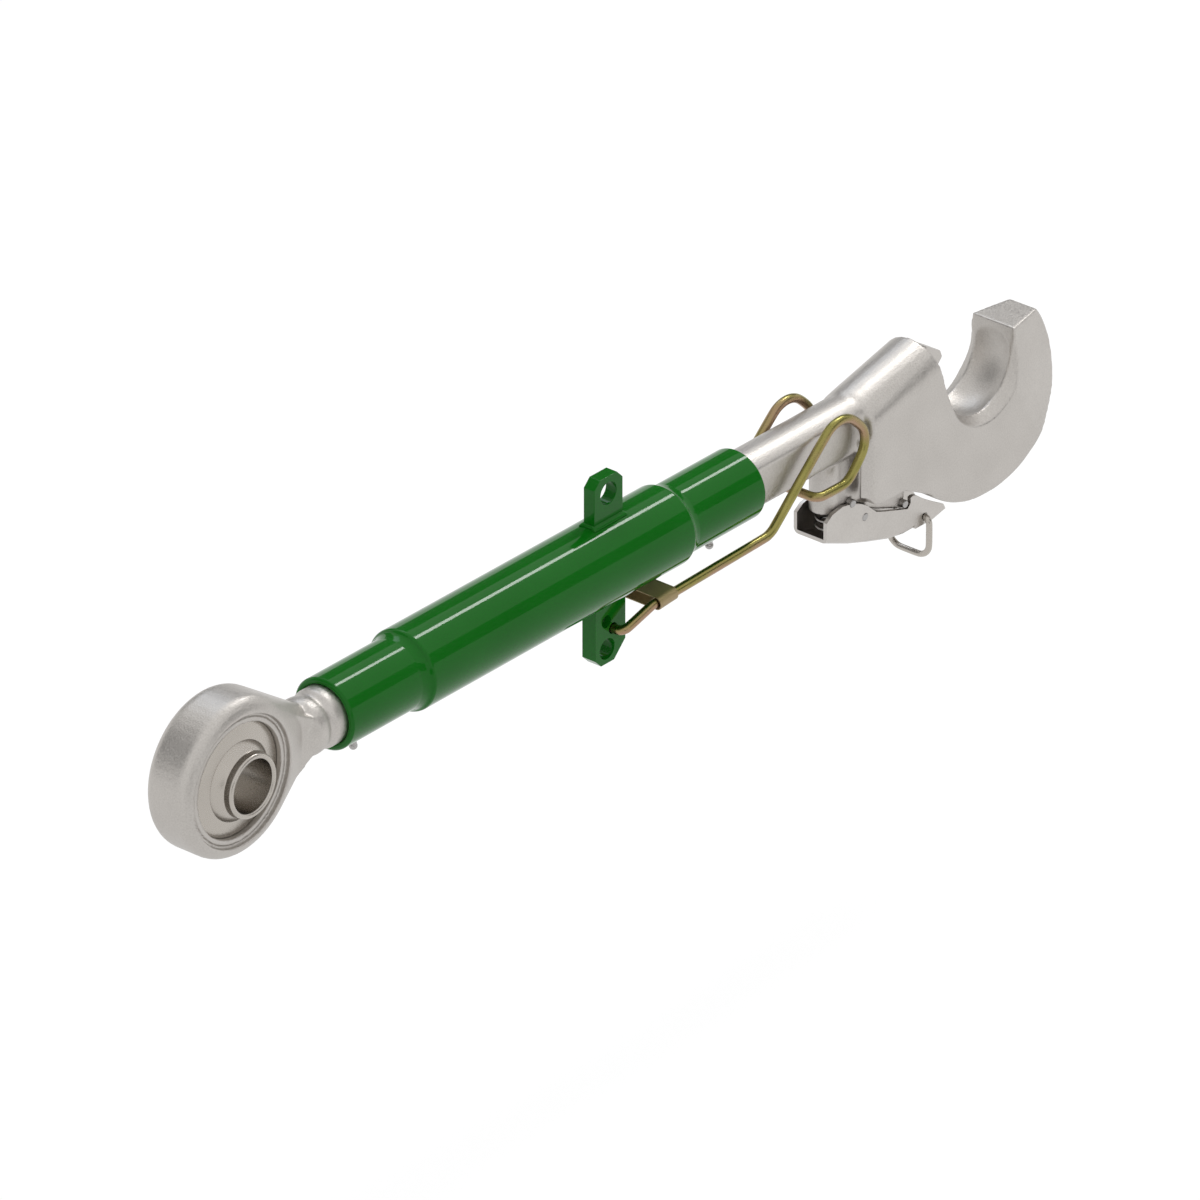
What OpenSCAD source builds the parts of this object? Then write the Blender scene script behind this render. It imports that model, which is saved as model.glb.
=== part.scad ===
// Adjustable top link for a tractor's three-point linkage: a swivel eye at one end,
// a quick-release hook at the other and a screw barrel between them.
// Frame: origin at the centre of the eye's bore, +X towards the hook, +Y along the bore, +Z up.
// It is drawn screwed right in, with the lock wire up and the latch closed.

/* [Barrel] */
// Length of the barrel over both threaded sleeves
barrel_length = 362; // [300:1:440]
// Length of the thicker tube in the middle
tube_length = 243; // [200:1:250]
// Wall of the thicker tube
tube_wall = 3; // [2.5:0.1:4]
// Length of each threaded sleeve
sleeve_length = 104; // [90:1:110]
// Wall of a sleeve outside the thread
sleeve_wall = 4.1; // [3:0.1:6]

/* [Threaded rods] */
// Diameter of both threaded rods
rod_d = 36; // [30:1:44]
// Gap between the rod tips when the link is screwed right in
tip_gap = 14; // [8:1:40]
// How far each rod screws out
screw_travel = 115; // [80:1:115]

/* [Eye end] */
// Distance from the bore to the barrel, screwed right in
eye_reach = 86.8; // [82:0.2:110]
// Bore of the swivel ball
eye_bore_d = 32; // [22:0.5:34]
// Width of the swivel ball over its collars
ball_width = 51; // [46:0.5:60]
// Diameter of the swivel ball
ball_d = 56; // [50:1:60]
// Diameter of the ball's end collars
ball_collar_d = 38.8; // [36:0.2:40]
// Metal round the bearing ring in the forged eye
eye_rim = 13.7; // [12:0.1:18]
// Thickness of the forged eye
eye_width = 36; // [34:1:42]

/* [Hook end] */
// Distance from the barrel to the hook's shoulder, screwed right in
neck_length = 98; // [90:1:125]
// Diameter of the implement ball that the hook takes
hook_ball_d = 64; // [56:1:70]
// Thickness of the forged hook
hook_width = 42; // [38:1:50]
// Metal under the hook's seat
hook_floor = 49; // [41:1:58]

/* [Latch] */
// Thickness of the pressed lever's sheet
lever_sheet = 2.5; // [2:0.1:3]
// Width of the gap between the lever's walls
lever_gap = 19.8; // [19:0.2:24]
// Thickness of the sliding pawl
pawl_thickness = 12; // [8:0.5:13]
// Diameter of the pull bail's wire
bail_wire_d = 4; // [3:0.5:4]

/* [Lock wire and lugs] */
// Diameter of the lock wire
wire_d = 6; // [5:0.5:6.5]
// Thickness of the upper lug
upper_lug_width = 8; // [6:0.5:12]
// Hole in the upper lug
upper_hole_d = 14; // [10:0.5:16]
// Thickness of the lower lug
lower_lug_width = 10; // [8:0.5:12]
// Large hole in the lower lug
lower_hole_d = 13; // [10:0.5:14]

/* [Hidden] */

$fn = 64;
hull_sides = 32;
wire_sides = 12;
fit_gap = 0.06;      // radial clearance of a running fit
slide_gap = 0.3;     // clearance beside a sliding piece
reach = 400;         // longer than anything that a cutter has to pass through

green = [0.13, 0.42, 0.15];
steel = [0.73, 0.71, 0.69];
bright_steel = [0.80, 0.79, 0.77];
dark_steel = [0.45, 0.45, 0.46];
yellow_zinc = [0.66, 0.60, 0.36];

// Barrel: rods run in the sleeves, and the sleeves are pressed into the tube
rod_r = rod_d / 2;
sleeve_r = rod_r + sleeve_wall;
tube_r = sleeve_r + tube_wall;
barrel_start = eye_reach;
barrel_end = barrel_start + barrel_length;
barrel_middle = (barrel_start + barrel_end) / 2;
tube_start = barrel_middle - tube_length / 2;
tube_end = barrel_middle + tube_length / 2;
tube_lead = 9;       // from a tube end to the start of its rounding, filled by the weld
nipple_inset = 25.2;
nipple_hex = 9;

// Eye: the ball turns in the ring, and the ring sits in the forging
ball_r = ball_d / 2;
race_mouth_r = 23.8;
race_outer_r = 34.5;
race_half = sqrt(pow(ball_r + fit_gap, 2) - pow(race_mouth_r, 2)) - 0.3;
race_edge_half = race_half - 3;
eye_r = race_outer_r + eye_rim;
eye_shift = 1.9;
eye_edge_in = 13;
eye_edge_out = 9.5;
eye_neck_x = 66;
eye_neck_half = 18.4;
eye_neck_width = 21.8;
eye_corner_r = 6;
eye_groove_r = race_outer_r + 5.2;
collar_groove_x = 76;

// Hook: all its places are measured from the shoulder where the neck meets the body
shoulder_x = barrel_end + neck_length;
neck_r = rod_r;
neck_flat = 13.5;    // half the width over the rod's two flats
body_start = 1.5;
seat_r = hook_ball_d / 2 + slide_gap;
ridge_half = 13.5;
ridge_r = sqrt(pow(seat_r, 2) - pow(ridge_half, 2));
seat_flare = 4.9;
seat_z = -1.5;
wall_x = 68.5;                        // left wall of the mouth at the seat's height
wall_lean = 15;
seat_x = wall_x + seat_r + 5.7;
arm_top_z = 33.5;
tip_z = 13;
tip_length = 23;
hook_half = hook_width / 2;
outer_r = seat_r + 43.9;
outer_x = seat_x;
outer_z = seat_z - seat_r - hook_floor + outer_r;

// Latch: a lever rocks on a pin in the boss and draws the pawl down its slot
boss_x = -18;
boss_r = 9.5;
boss_z = -49;
fulcrum = [-7.5, -45.6];
pawl_pin_at = [4.1, -59.2];
stop_pin_at = [42, -66.3];
bail_at = [59.5, -81.3];
pin_d = 5;
spring_bore_r = 7;
spring_top_z = -24;
spring_wire_d = 1.8;
spring_turns = 7;
lever_outer = lever_gap + 2 * lever_sheet;
pawl_angle = 46.5;
pawl_low = -7.1;
pawl_stem_high = 4.5;
pawl_head_high = 11.4;
pawl_head_start = 62;
pawl_end = 108.3;
pawl_travel = 9;
fin_half = 9.2;

// Lugs and lock wire
upper_lug_x = 329;
upper_lug_length = 25;
upper_lug_top = tube_r + 29;
upper_hole_z = tube_r + 18.1;
lower_lug_x = 329.6;
lower_lug_length = 26.5;
lower_lug_bottom = -tube_r - 40.3;
wire_hole = [331.8, -tube_r - 19.5];
wire_hole_d = wire_d + 1;
wire_r = wire_d / 2;
ear_half = 20;       // half the span of the ears that straddle the neck
clip_half = 15;
crossbar_z = -23.2;

// Revolves a profile of [radius, distance along X] about the X axis
module lathe_x() { rotate([0, 90, 0]) rotate_extrude($fn = 96) children(); }

// Revolves a profile of [radius, distance along Y] about the Y axis
module lathe_y() { rotate([-90, 0, 0]) rotate_extrude($fn = 96) children(); }

// Extrudes an outline drawn as [x, z] to a thickness centred on y = 0
module plate_y(thickness) { rotate([90, 0, 0]) linear_extrude(thickness, center = true) children(); }

// Cylinder along Y, centred on y = 0, through the point [x, z]
module pin_y(at, d, length) {
  translate([at[0], 0, at[1]]) rotate([90, 0, 0]) cylinder(h = length, d = d, center = true);
}

function unit(v) = v / norm(v);

// Points of the arc that rounds the corner b between a and c to a bend radius
function bend(a, b, c, radius, steps) =
  let (u = unit(a - b), v = unit(c - b), half = acos(u * v) / 2,
       start = b + u * radius / tan(half), centre = b + unit(u + v) * radius / sin(half),
       e1 = unit(start - centre), turn = 180 - 2 * half,
       stop = b + v * radius / tan(half), across = (stop - centre) - ((stop - centre) * e1) * e1,
       e2 = unit(across))
  [for (i = [0 : steps]) centre + radius * (cos(turn * i / steps) * e1 + sin(turn * i / steps) * e2)];

// Whole path of a bent wire: its two ends and rounded corners between them
function bent_path(points, radii, steps) = concat(
  [points[0]],
  [for (i = [1 : len(points) - 2])
    each bend(points[i - 1], points[i], points[i + 1], radii[i - 1], steps)],
  [points[len(points) - 1]]);

function path_tangent(p, i) = unit(p[min(i + 1, len(p) - 1)] - p[max(i - 1, 0)]);

// Side vectors that turn as little as they can along the path
function path_sides(p, i, side) =
  let (t = path_tangent(p, i), s = unit(side - (side * t) * t))
  i == len(p) - 1 ? [s] : concat([s], path_sides(p, i + 1, s));

// Round wire swept along a path
module wire(p, d, first_side) {
  sides = path_sides(p, 0, first_side);
  rings = [for (i = [0 : len(p) - 1], k = [0 : wire_sides - 1])
    let (t = path_tangent(p, i), s = sides[i], w = cross(t, s), a = 360 * k / wire_sides)
    p[i] + d / 2 * (cos(a) * s + sin(a) * w)];
  walls = [for (i = [0 : len(p) - 2], k = [0 : wire_sides - 1])
    let (a = i * wire_sides + k, b = i * wire_sides + (k + 1) % wire_sides)
    [a, a + wire_sides, b + wire_sides, b]];
  last = (len(p) - 1) * wire_sides;
  polyhedron(points = rings, convexity = 10,
    faces = concat(walls, [[for (k = [0 : wire_sides - 1]) k]],
                   [[for (k = [wire_sides - 1 : -1 : 0]) last + k]]));
}

// Tube whose ends are rounded off and welded down to the sleeves
module barrel_tube() {
  roll_start = 38;
  steps = 5;
  weld = [[0, 0], [0.25, 2.5], [0.8, 4.8], [1.35, 6]];
  roll = [for (i = [0 : steps]) let (a = roll_start + (90 - roll_start) * i / steps)
    [tube_wall * sin(a), tube_lead - tube_wall * cos(a)]];
  edge = concat(weld, roll);
  color(green) lathe_x() polygon(concat(
    [for (p = edge) [sleeve_r + p[0], tube_start + p[1]]],
    [for (i = [len(edge) - 1 : -1 : 0]) [sleeve_r + edge[i][0], tube_end - edge[i][1]]]));
}

// Threaded sleeve whose outer end is at x = 0 and that reaches inwards to x = sleeve_length
module sleeve() {
  edge = 1.4;
  mouth = 1.0;
  bore_r = rod_r + fit_gap;
  lathe_x() polygon([
    [bore_r + mouth, 0], [sleeve_r - edge, 0], [sleeve_r, edge], [sleeve_r, sleeve_length],
    [bore_r, sleeve_length], [bore_r, mouth]]);
}

module eye_sleeve() { color(green) translate([barrel_start, 0, 0]) sleeve(); }

module hook_sleeve() { color(green) translate([barrel_end, 0, 0]) mirror([1, 0, 0]) sleeve(); }

module upper_lug() {
  edge = 5;
  left = upper_lug_x - upper_lug_length / 2;
  right = upper_lug_x + upper_lug_length / 2;
  color(green) difference() {
    plate_y(upper_lug_width) polygon([
      [left, 0], [right, 0], [right, upper_lug_top - edge], [right - edge, upper_lug_top],
      [left + edge, upper_lug_top], [left, upper_lug_top - edge]]);
    tube_cutter();
    pin_y([upper_lug_x, upper_hole_z], upper_hole_d, 40);
  }
}

module lower_lug() {
  left_edge = 5;
  right_edge = 10;
  left = lower_lug_x - lower_lug_length / 2;
  right = lower_lug_x + lower_lug_length / 2;
  color(green) difference() {
    plate_y(lower_lug_width) polygon([
      [left, 0], [right, 0], [right, lower_lug_bottom + right_edge],
      [right - right_edge, lower_lug_bottom], [left + left_edge, lower_lug_bottom],
      [left, lower_lug_bottom + left_edge]]);
    tube_cutter();
    pin_y([lower_lug_x - 3.5, -tube_r - 13], 8, 40);
    pin_y(wire_hole, wire_hole_d, 40);
    pin_y([lower_lug_x - 3, -tube_r - 30.9], lower_hole_d, 40);
  }
}

// Everything inside the tube's outer surface
module tube_cutter() { lathe_x() translate([0, tube_start]) square([tube_r, tube_length]); }

// Fillet weld round the foot of one lug
module weld_round(x, length, width, side) {
  leg = 2.4;
  foot = tube_r - 2;
  mirror([0, 0, side < 0 ? 1 : 0]) translate([x, 0, 0]) difference() {
    intersection() {
      rotate([90, 0, 90]) linear_extrude(length + 2 * leg, center = true) polygon([
        [-width / 2 - leg, foot], [width / 2 + leg, foot], [width / 2 + leg, tube_r],
        [width / 2, tube_r + leg], [-width / 2, tube_r + leg], [-width / 2 - leg, tube_r]]);
      plate_y(40) polygon([
        [-length / 2 - leg, foot], [length / 2 + leg, foot], [length / 2 + leg, tube_r],
        [length / 2, tube_r + leg], [-length / 2, tube_r + leg], [-length / 2 - leg, tube_r]]);
    }
    translate([-length / 2, -width / 2, 0]) cube([length, width, reach]);
    translate([-x, 0, 0]) tube_cutter();
  }
}

module lug_welds() {
  color(green) {
    weld_round(upper_lug_x, upper_lug_length, upper_lug_width, 1);
    weld_round(lower_lug_x, lower_lug_length, lower_lug_width, -1);
  }
}

// Grease nipple that points down from the sleeve's underside
module grease_nipple(x) {
  translate([x, 0, -sleeve_r]) rotate([180, 0, 0]) {
    difference() {
      translate([0, 0, -1.5]) cylinder(h = 4, d = nipple_hex, $fn = 6);
      translate([0, 0, -sleeve_r]) rotate([0, 90, 0]) cylinder(h = 30, r = sleeve_r, center = true);
    }
    translate([0, 0, 2.5]) cylinder(h = 2.8, r1 = 3.4, r2 = 2.1);
    translate([0, 0, 5]) cylinder(h = 3, r = 2.1);
    translate([0, 0, 8]) sphere(r = 2.5, $fn = 32);
  }
}

module eye_grease_nipple() { color(dark_steel) grease_nipple(barrel_start + nipple_inset); }

module hook_grease_nipple() { color(dark_steel) grease_nipple(barrel_end - nipple_inset); }

// Rounded teardrop of the eye, thick round the ring and thinner at the end of its neck
module eye_teardrop() {
  steps = 6;
  hull() for (i = [0 : steps]) {
    inset = eye_edge_in * (1 - cos(90 * i / steps));
    drop = eye_edge_out * (1 - sin(90 * i / steps));
    translate([eye_shift, 0, 0]) rotate([90, 0, 0])
      cylinder(h = eye_width - 2 * drop, r = eye_r - inset, center = true, $fn = 64);
    for (up = [-1, 1])
      translate([eye_neck_x - eye_corner_r, 0, up * (eye_neck_half - eye_corner_r)]) rotate([90, 0, 0])
        cylinder(h = eye_neck_width - 2 * drop, r = max(eye_corner_r - inset, 0.1), center = true, $fn = 24);
  }
}

module eye_forging() {
  flat = eye_width / 2;
  rod_tip = barrel_middle - tip_gap / 2;
  color(steel) difference() {
    union() {
      eye_teardrop();
      eye_shank(rod_tip);
    }
    race_seat();
    for (side = [-1, 1]) lathe_y() polygon([
      [0, side * (flat + 1)], [eye_groove_r + 1.2, side * (flat + 1)],
      [eye_groove_r, side * (flat - 1.6)], [eye_groove_r, side * (race_edge_half - 2.4)],
      [0, side * (race_edge_half - 2.4)]]);
  }
}

// Round shank behind the eye, with its collar and groove, and the threaded rod
module eye_shank(rod_tip) {
  groove = 2.6;
  lead = 1.5;
  root_r = rod_r - 0.4;
  lathe_x() difference() {
    polygon([[0, eye_neck_x - 20], [root_r - 9, eye_neck_x - 16], [root_r - 2, eye_neck_x - 3],
             [root_r, eye_neck_x + 1], [root_r, collar_groove_x - 4.5], [rod_r - 1.6, collar_groove_x - 1],
             [rod_r - 1.6, collar_groove_x + 1], [rod_r, collar_groove_x + 4],
             [rod_r, rod_tip - lead], [rod_r - lead, rod_tip], [0, rod_tip]]);
    translate([rod_r + 0.8, collar_groove_x]) circle(r = groove);
  }
}

// Space for the bearing ring, through the whole eye
module race_seat() { pin_y([0, 0], 2 * race_outer_r, 2 * eye_width); }

module eye_race() {
  color(bright_steel) lathe_y() difference() {
    polygon([[0, -race_half], [race_mouth_r, -race_half], [race_outer_r, -race_edge_half],
             [race_outer_r, race_edge_half], [race_mouth_r, race_half], [0, race_half]]);
    circle(r = ball_r + fit_gap);
    translate([-1, -race_half - 1]) square([1, 2 * race_half + 2]);
  }
}

module swivel_ball() {
  half = ball_width / 2;
  collar_r = ball_collar_d / 2;
  bore_r = eye_bore_d / 2;
  edge = 1;
  color(bright_steel) lathe_y() difference() {
    union() {
      intersection() {
        circle(r = ball_r);
        translate([0, -half + 3]) square([ball_r, ball_width - 6]);
      }
      polygon([[0, -half], [collar_r - edge, -half], [collar_r, -half + edge],
               [collar_r, half - edge], [collar_r - edge, half], [0, half]]);
    }
    translate([-reach, -reach]) square([reach + bore_r, 2 * reach]);
    for (side = [-1, 1]) polygon([[bore_r - 1, side * (half - 2)], [bore_r + edge, side * half],
                                  [bore_r + edge + 1, side * (half + 1)], [bore_r - 1, side * (half + 1)]]);
  }
}

// Outline of the hook's body from the shoulder to the horn, as [x, z] from the shoulder
module body_outline() {
  polygon([
    [body_start, -6], [wall_x - 12, -4], [wall_x + 3, -6], [seat_x, seat_z], [seat_x, outer_z - outer_r + 8],
    [seat_x - 20, outer_z - outer_r + 3.9], [31, -50], [5, -50], [body_start, -46]]);
}

// Line of the mouth's left wall as [x, z] at a height
function wall_at(z) = [wall_x - (z - seat_z) * tan(wall_lean), z];

// Arm between the shoulder and the mouth: a rounded block that becomes fully round
module arm() {
  corner_r = 10;
  corner_z = 1.9;
  ridge_z = 1;
  far = wall_x + 6;
  far_z = arm_top_z - hook_half + 2;
  hull() {
    translate([body_start, 0, ridge_z]) rotate([0, 90, 0])
      cylinder(h = 1, r = neck_r + 0.2, $fn = hull_sides);
    for (side = [-1, 1]) translate([body_start, side * (hook_half - corner_r), corner_z]) rotate([0, 90, 0])
      cylinder(h = 1, r = corner_r, $fn = hull_sides);
    translate([far, 0, far_z]) rotate([0, 90, 0]) cylinder(h = 1, r = hook_half, $fn = hull_sides);
    translate([body_start, -hook_half, -20]) cube([far - body_start, hook_width, 1]);
  }
}

// Disc that gives the horn and the hook's underside their rounded edge
module horn_disc() {
  round_r = 1.5;
  translate([outer_x, 0, outer_z]) lathe_y() {
    square([outer_r - round_r, hook_half]);
    mirror([0, 1]) square([outer_r - round_r, hook_half]);
    for (side = [-1, 1]) translate([outer_r - round_r, side * (hook_half - round_r)]) circle(r = round_r);
    translate([0, -(hook_half - round_r)]) square([outer_r, 2 * (hook_half - round_r)]);
  }
}

// Solid forging before anything is cut from it
module hook_blank() {
  crown_r = outer_r - 16.4;
  crown_x = outer_x + 11.1;
  crown_z = outer_z - 17.4;
  intersection() {
    horn_disc();
    plate_y(hook_width) {
      translate([crown_x, crown_z]) circle(r = crown_r);
      polygon([[seat_x - 50, seat_z - 10], [seat_x, seat_z], [seat_x + 30, outer_z - outer_r - 5],
               [seat_x - 60, outer_z - outer_r - 5]]);
    }
    translate([seat_x, 0, 0]) plate_y(hook_width) polygon([
      [-50, -36], [-50, -100], [120, -100], [120, tip_z], [0, tip_z], [0, seat_z], [-30, seat_z]]);
  }
  plate_y(hook_width) body_outline();
  intersection() {
    arm();
    plate_y(hook_width + 2) polygon([
      [-10, -30], wall_at(-30) + [10, 0], wall_at(seat_z) + [8, 0], wall_at(6), wall_at(60), [-10, 60]]);
  }
}

// Blocks that taper both sides of the horn towards its tip
module horn_taper() {
  tip_half = 15.3;
  plan_taper = 11.2;
  rise_taper = 6.6;
  for (side = [0, 1]) mirror([0, side, 0])
    translate([seat_x + ridge_r + 4.6, tip_half, tip_z]) rotate([rise_taper, 0, -plan_taper])
      translate([-100, 0, -150]) cube([200, 40, 200]);
}

// Space of the mouth: through opening, spherical seat and flared edges
module mouth() {
  flare_r = ridge_r + seat_flare;
  throat_r = seat_r + 0.08;
  open = 80;
  translate([seat_x, 0, seat_z]) {
    rotate([90, 0, 0]) cylinder(h = 100, r = ridge_r, center = true, $fn = 96);
    sphere(r = seat_r, $fn = 96);
    for (side = [0, 1]) mirror([0, side, 0]) lathe_y() polygon([
      [0, ridge_half], [ridge_r, ridge_half],
      [flare_r + seat_flare / (hook_half - ridge_half) * 2, hook_half + 2], [0, hook_half + 2]]);
  }
  plate_y(100) polygon([
    [seat_x - seat_r + 6.8, seat_z - 15.5], [seat_x - seat_r - 0.3, seat_z - 11.5],
    [seat_x - seat_r - 3.4, seat_z - 3.7], wall_at(seat_z + 7.5), wall_at(open),
    [seat_x + ridge_r + 30, open], [seat_x + ridge_r + 1.5, tip_z], [seat_x + ridge_r, seat_z]]);
  intersection() {
    hull() {
      translate([seat_x, 0, seat_z]) cylinder(h = 1, r = throat_r, $fn = hull_sides);
      translate([seat_x - 0.5 * tip_z, 0, tip_z - 4]) cylinder(h = 1, r = throat_r, $fn = hull_sides);
    }
    translate([seat_x, -ridge_half, seat_z]) cube([100, 2 * ridge_half, 100]);
  }
}

// Turns a shape drawn along the pawl, as [along, across], into the hook's frame
module along_pawl() {
  translate([pawl_pin_at[0], 0, pawl_pin_at[1]]) rotate([0, -pawl_angle, 0]) children();
}

// Slot that the pawl slides in
module pawl_slot() {
  along_pawl() plate_y(pawl_thickness + 2 * slide_gap) polygon([
    [-20, pawl_low - slide_gap], [reach, pawl_low - slide_gap], [reach, pawl_head_high + slide_gap],
    [pawl_head_start - pawl_travel - 1.5, pawl_head_high + slide_gap],
    [pawl_head_start - pawl_travel - 1.5, pawl_stem_high + slide_gap],
    [-20, pawl_stem_high + slide_gap]]);
}

module neck() {
  lead = 1.5;
  rod_tip = barrel_middle + tip_gap / 2 - shoulder_x;
  difference() {
    lathe_x() polygon([[0, rod_tip], [rod_r - lead, rod_tip], [rod_r, rod_tip + lead], [rod_r, 5], [0, 5]]);
    for (side = [0, 1]) mirror([0, side, 0])
      translate([-neck_length - screw_travel, neck_flat, -30])
        cube([neck_length + screw_travel, 30, 60]);
  }
}

module hook_forging() {
  color(steel) translate([shoulder_x, 0, 0]) difference() {
    union() {
      difference() {
        hook_blank();
        horn_taper();
      }
      neck();
      translate([boss_x, 0, boss_z]) cylinder(h = -boss_z - 8, r = boss_r);
      plate_y(2 * fin_half) polygon([
        [boss_x, -8], [10, -8], [44, -40], [44.4, -64.5], [46.2, -68], [44.5, -70.6], [39, -69],
        [20, -61.5], [8, -56], [0, -51], [-7, -49], [boss_x, -46]]);
    }
    mouth();
    pawl_slot();
    translate([boss_x, 0, boss_z - 1]) cylinder(h = spring_top_z - boss_z + 1, r = spring_bore_r);
    pin_y(fulcrum, pin_d, reach);
    pin_y(stop_pin_at, pin_d, 2 * fin_half + 2);
  }
}

// Plain pin through the latch, with a small edge broken at both ends
module latch_pin(at, half) {
  r = pin_d / 2;
  edge = 0.5;
  color(dark_steel) translate([shoulder_x + at[0], 0, at[1]]) lathe_y() polygon([
    [0, -half], [r - edge, -half], [r, -half + edge], [r, half - edge], [r - edge, half], [0, half]]);
}

module fulcrum_pin() { latch_pin(fulcrum, lever_outer / 2 + 0.8); }

module lever_stop_pin() { latch_pin(stop_pin_at, lever_outer / 2); }

// Compression spring between the bottom of its bore and the lever's web
module latch_spring() {
  mean_r = spring_bore_r - spring_wire_d / 2 - 0.4;
  bottom = -62.4;
  top = spring_top_z - spring_wire_d / 2 - 0.1;
  steps = 12;
  coil = [for (i = [0 : spring_turns * steps])
    let (a = 360 * i / steps, s = i / (spring_turns * steps))
    [mean_r * cos(a), mean_r * sin(a), top + (bottom - top) * s]];
  color(dark_steel) translate([shoulder_x + boss_x, 0, 0]) wire(coil, spring_wire_d, [0, 0, 1]);
}

// Side view of the lever's walls, as [x, z] from the shoulder
lever_bottom = [[-31.3, -63.2], [-10, -71.9], [8.5, -78.1], [27, -83.7], [41, -86.1], [67, -86.2]];
lever_nose = [[79, -83.7], [77.3, -80.2]];
lever_top = [[68.8, -75.5], [59.3, -69.7], [51, -63.6], [48, -63.1], [46.2, -63.7], [46.3, -67],
             [43.5, -69.9], [36, -67.5], [22, -62.9], [14.7, -60.2], [6.3, -52.8], [0.7, -49.3],
             [-6, -46.6], [-11.3, -45.1], [-16.8, -44.1], [-26, -45.7], [-31.4, -49.4]];

// Line of the lever's web as seen from the side, from behind its open end to the web's own end
web_end = 51;
web_line = concat([lever_bottom[0] - 3 * unit(lever_bottom[1] - lever_bottom[0])],
                  [for (i = [1 : 4]) lever_bottom[i]], [[web_end, lever_bottom[4][1]]]);

// What the press leaves off the lever's long outer corners: everything outside its bend radius
module bend_corner(a, b, radius) {
  bite = 0.1;
  half = lever_outer / 2;
  run = norm(b - a);
  centre = radius - bite;
  for (side = [0, 1]) mirror([0, side, 0]) translate([a[0], half, a[1]])
    rotate([0, -atan2(b[1] - a[1], b[0] - a[0]), 0]) difference() {
      translate([0, -radius, -1]) cube([run, radius + 1, radius + 1]);
      translate([-1, -centre, centre]) rotate([0, 90, 0]) cylinder(h = run + 2, r = radius, $fn = 12);
    }
}

module latch_lever() {
  bend_outer = 3.5;
  color(steel) translate([shoulder_x, 0, 0]) difference() {
    plate_y(lever_outer) polygon(concat(lever_bottom, lever_nose, lever_top));
    plate_y(lever_gap) polygon(concat([for (p = web_line) p + [0, lever_sheet]],
      [[web_end, -100], [100, -100], [100, -30], [-50, -30], [-50, web_line[0][1] + lever_sheet]]));
    for (i = [0 : len(web_line) - 2]) bend_corner(web_line[i], web_line[i + 1], bend_outer);
    pin_y(fulcrum, pin_d + 2 * fit_gap, 100);
    translate([fulcrum[0], 0, fulcrum[1]]) rotate([0, -10, 0]) translate([-pin_d / 2 - fit_gap, -50, 0])
      cube([pin_d + 2 * fit_gap, 100, 10]);
    pin_y(pawl_pin_at, pin_d, 100);
    pin_y(bail_at, bail_wire_d + 1.2, 100);
  }
}

module pawl_pin() { latch_pin(pawl_pin_at, lever_outer / 2 + 0.4); }

module latch_pawl() {
  notch_half = pin_d / 2 + 0.35;
  color(bright_steel) translate([shoulder_x, 0, 0]) along_pawl() plate_y(pawl_thickness) difference() {
    polygon([
      [-7, pawl_low + 2], [-5, pawl_low], [pawl_end - 2, pawl_low], [pawl_end, pawl_low + 4.5],
      [pawl_end - 3, pawl_head_high], [pawl_head_start, pawl_head_high],
      [pawl_head_start, pawl_stem_high], [-7, pawl_stem_high]]);
    circle(r = notch_half);
    translate([-notch_half, 0]) square([2 * notch_half, 20]);
  }
}

// Wire handle that hangs from both walls of the lever
module pull_bail() {
  half = lever_outer / 2 + bail_wire_d / 2 + 0.5;
  drop = 27;
  side = function(s) [[0, s * (lever_gap / 2 - 1.5), 0], [0, s * (half + 1), 0],
                      [1.5, s * half, -drop], [1.5, 0, -drop]];
  near = side(-1);
  far = side(1);
  path = bent_path([near[0], near[1], near[2], far[2], far[1], far[0]], [4, 9, 9, 4], 6);
  color(bright_steel) translate([shoulder_x + bail_at[0], 0, bail_at[1]])
    wire(path, bail_wire_d, [0, 0, 1]);
}

// Corners of one side of the lock wire, from the lug hole to the bar under the neck
function wire_side(s) = [
  [wire_hole[0], s * 0.6, wire_hole[1]],
  [wire_hole[0], s * (lower_lug_width / 2 + wire_r + 4.5), wire_hole[1]],
  [wire_hole[0] + 23, s * clip_half, -tube_r - 10.5],
  [shoulder_x - 92.4, s * ear_half, -tube_r - 4],
  [shoulder_x - 29.4, s * ear_half, 27],
  [shoulder_x - 0.3, s * ear_half, -0.2],
  [shoulder_x - 21.8, s * ear_half, crossbar_z - 0.4],
  [shoulder_x - 49.4, s * ear_half, crossbar_z]];
wire_bends = [5, 9, 16, 19.5, 15, 14, 6];

module lock_wire() {
  near = wire_side(-1);
  far = wire_side(1);
  corners = concat(near, [for (i = [len(far) - 1 : -1 : 0]) far[i]]);
  radii = concat([for (i = [0 : len(wire_bends) - 1]) wire_bends[i]],
                 [for (i = [len(wire_bends) - 1 : -1 : 0]) wire_bends[i]]);
  color(yellow_zinc) wire(bent_path(corners, radii, 6), wire_d, [0, 0, 1]);
}

// Flat strap closed round both legs of the wire
module wire_clip() {
  sheet = 0.9;
  width = 15.5;
  from = wire_side(-1)[2];
  to = wire_side(-1)[3];
  middle = from + (to - from) * 0.1;
  slope = atan2(to[2] - from[2], to[0] - from[0]);
  inner = wire_r + 0.4;
  color(yellow_zinc) translate([middle[0], 0, middle[2]]) rotate([0, -slope, 0]) rotate([90, 0, 90])
    linear_extrude(width, center = true) difference() {
      loop(-middle[1], inner + sheet);
      loop(-middle[1], inner);
    }
}

// Stadium outline with its round ends at plus and minus a half span
module loop(half_span, r) {
  translate([-half_span, -r]) square([2 * half_span, 2 * r]);
  for (side = [-1, 1]) translate([side * half_span, 0]) circle(r = r);
}

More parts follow.
